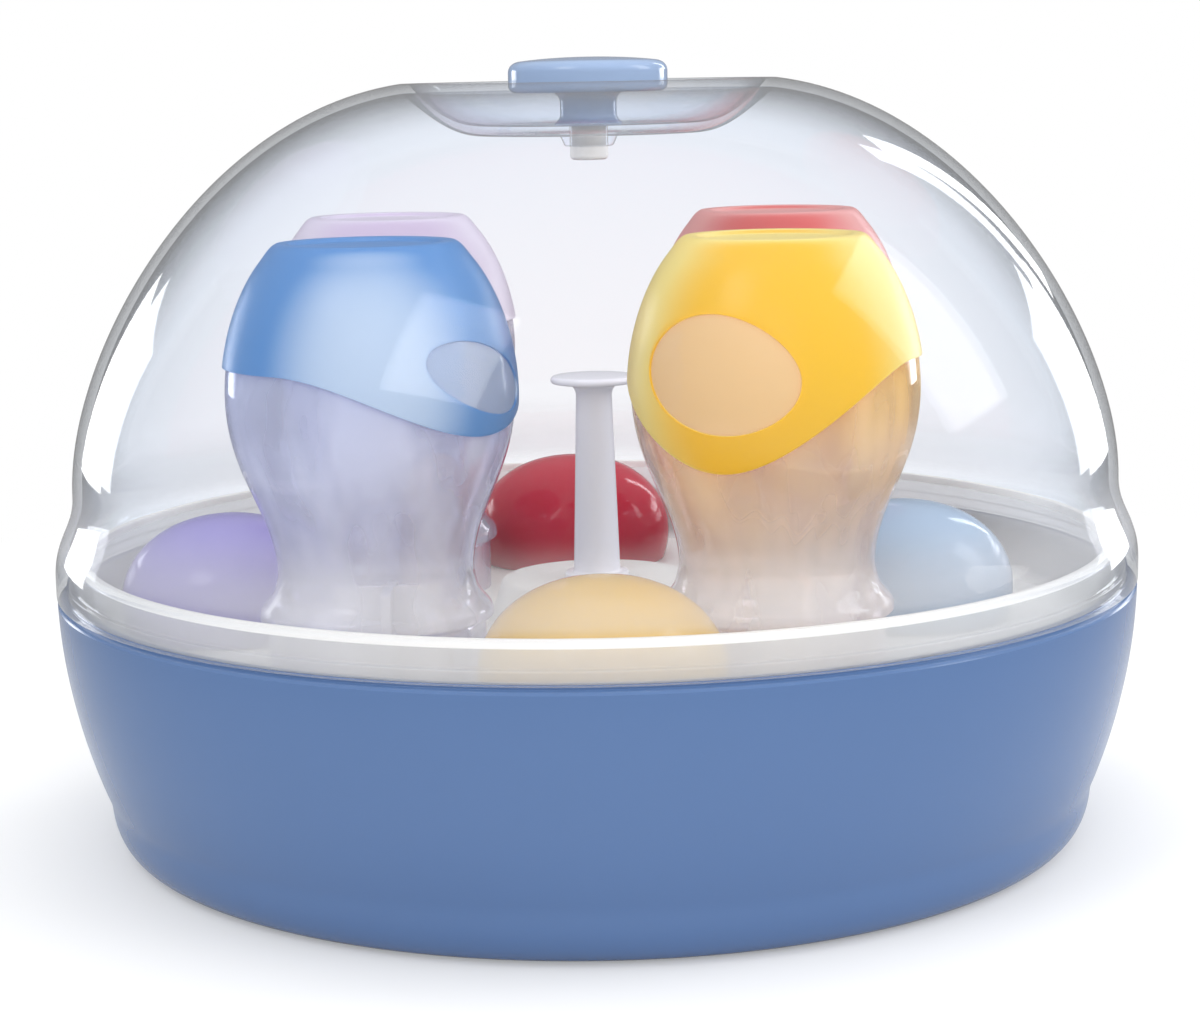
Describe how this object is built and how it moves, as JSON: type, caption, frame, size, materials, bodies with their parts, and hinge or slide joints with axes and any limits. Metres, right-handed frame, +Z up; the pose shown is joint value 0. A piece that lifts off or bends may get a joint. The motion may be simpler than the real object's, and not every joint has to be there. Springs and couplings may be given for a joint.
{
  "type": "microwave bottle steriliser",
  "caption": "Round steam steriliser for baby bottles: water bowl, perforated rack with lifting post, upturned bottles and caps, and a clear domed lid with a sunk knob.",
  "frame": {"origin": "centre of the bowl's standing ring, on the surface it stands on", "axes": "+Z up along the bowl's axis; -Y towards the front, where the post stands between two bottles; +X to the right"},
  "size_m": [0.2698, 0.2698, 0.1932],
  "materials": {
    "bowl_blue": "gloss",
    "rack_milky": "satin",
    "post_white": "satin",
    "lid_clear": "gloss",
    "knob_blue": "gloss",
    "plug_natural": "satin",
    "bottle_clear": "gloss",
    "skin_blue": "gloss",
    "skin_yellow": "gloss",
    "skin_pink": "gloss",
    "skin_red": "gloss",
    "cap_red": "gloss",
    "cap_yellow": "gloss",
    "cap_purple": "gloss",
    "cap_blue": "gloss"
  },
  "bodies": {
    "bowl": {"base_bowl": "bowl_blue"},
    "rack": {"rack_tray": "rack_milky", "lift_post": "post_white"},
    "lid": {"lid_dome": "lid_clear", "lid_knob": "knob_blue", "knob_plug": "plug_natural"},
    "blue_bottle": {"bottle_blue": "bottle_clear", "skin_blue": "skin_blue"},
    "yellow_bottle": {"bottle_yellow": "bottle_clear", "skin_yellow": "skin_yellow"},
    "pink_bottle": {"bottle_pink": "bottle_clear", "skin_pink": "skin_pink"},
    "red_bottle": {"bottle_red": "bottle_clear", "skin_red": "skin_red"},
    "purple_cap": {"cap_purple": "cap_purple"},
    "yellow_cap": {"cap_yellow": "cap_yellow"},
    "blue_cap": {"cap_blue": "cap_blue"},
    "red_cap": {"cap_red": "cap_red"}
  },
  "joints": [
    {"name": "rack_lift", "type": "slide", "parent": "bowl", "child": "rack", "axis": [0, 0, 1], "range_m": [0, 0.12]},
    {"name": "lid_lift", "type": "slide", "parent": "rack", "child": "lid", "axis": [0, 0, 1], "range_m": [0, 0.14]},
    {"name": "blue_bottle_turn", "type": "hinge", "parent": "rack", "child": "blue_bottle", "pos_m": [-0.0515, -0.05495, 0.051], "axis": [0, 0, 1], "continuous": true},
    {"name": "yellow_bottle_turn", "type": "hinge", "parent": "rack", "child": "yellow_bottle", "pos_m": [0.04203, -0.05495, 0.051], "axis": [0, 0, 1], "continuous": true},
    {"name": "pink_bottle_turn", "type": "hinge", "parent": "rack", "child": "pink_bottle", "pos_m": [-0.05453, 0.05236, 0.051], "axis": [0, 0, 1], "continuous": true},
    {"name": "red_bottle_turn", "type": "hinge", "parent": "rack", "child": "red_bottle", "pos_m": [0.05002, 0.05303, 0.051], "axis": [0, 0, 1], "continuous": true},
    {"name": "purple_cap_lift", "type": "slide", "parent": "rack", "child": "purple_cap", "axis": [0, 0, 1], "range_m": [0, 0.02]},
    {"name": "yellow_cap_lift", "type": "slide", "parent": "rack", "child": "yellow_cap", "axis": [0, 0, 1], "range_m": [0, 0.02]},
    {"name": "blue_cap_lift", "type": "slide", "parent": "rack", "child": "blue_cap", "axis": [0, 0, 1], "range_m": [0, 0.02]},
    {"name": "red_cap_lift", "type": "slide", "parent": "rack", "child": "red_cap", "axis": [0, 0, 1], "range_m": [0, 0.02]}
  ]
}
